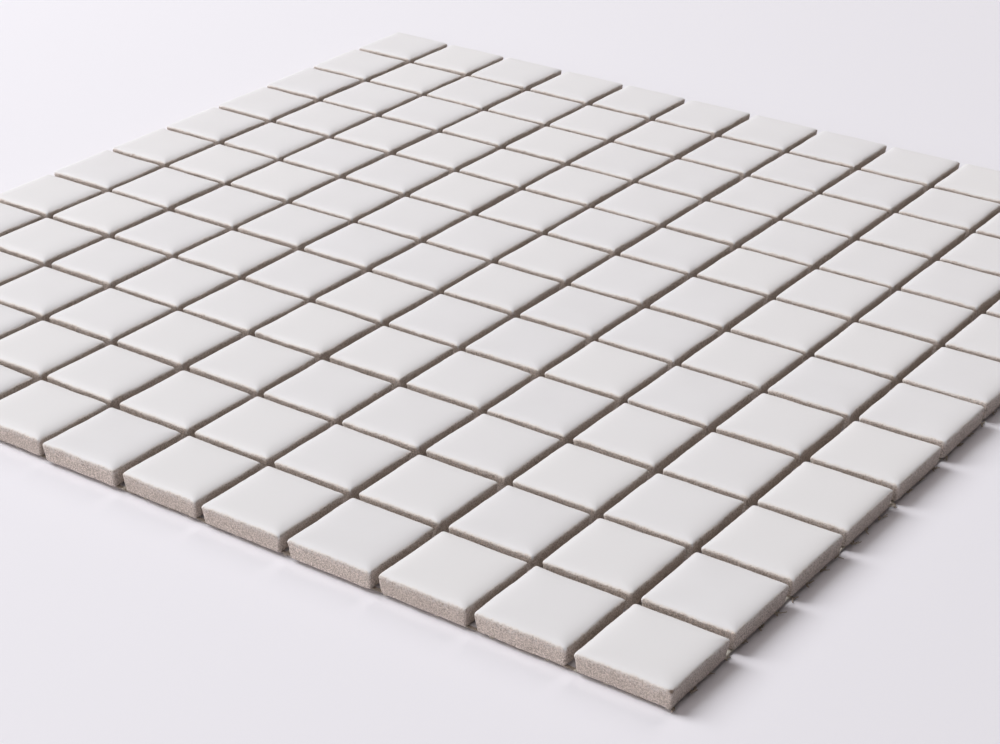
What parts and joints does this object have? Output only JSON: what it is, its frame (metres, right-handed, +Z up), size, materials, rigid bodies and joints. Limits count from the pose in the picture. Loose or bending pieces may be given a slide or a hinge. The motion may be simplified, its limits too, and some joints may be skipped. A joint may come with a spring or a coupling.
{
  "type": "ceramic mosaic tile sheet",
  "caption": "Square sheet of white glazed ceramic mosaic chips with cushioned edges and open joints, bonded to a flat glass-fibre backing mesh.",
  "frame": {"origin": "middle of the sheet on the underside of the backing mesh", "axes": "+Z up out of the glazed faces; +X along the rows of chips; +Y across the rows, along the yarns whose ends pass the chips"},
  "size_m": [0.298, 0.3008, 0.0063],
  "materials": {
    "white_glaze": "white satin glaze on the face and over the rim, bare greige fired body on the lower sides and back",
    "glass_mesh": "off-white glass-fibre yarns stiffened with dried adhesive"
  },
  "bodies": {
    "root": {"chip_row_01": "white_glaze", "chip_row_02": "white_glaze", "chip_row_03": "white_glaze", "chip_row_04": "white_glaze", "chip_row_05": "white_glaze", "chip_row_06": "white_glaze", "chip_row_07": "white_glaze", "chip_row_08": "white_glaze", "chip_row_09": "white_glaze", "chip_row_10": "white_glaze", "chip_row_11": "white_glaze", "chip_row_12": "white_glaze", "backing_mesh_1": "glass_mesh", "backing_mesh_2": "glass_mesh", "backing_mesh_3": "glass_mesh", "backing_mesh_4": "glass_mesh", "backing_mesh_5": "glass_mesh"}
  },
  "joints": []
}
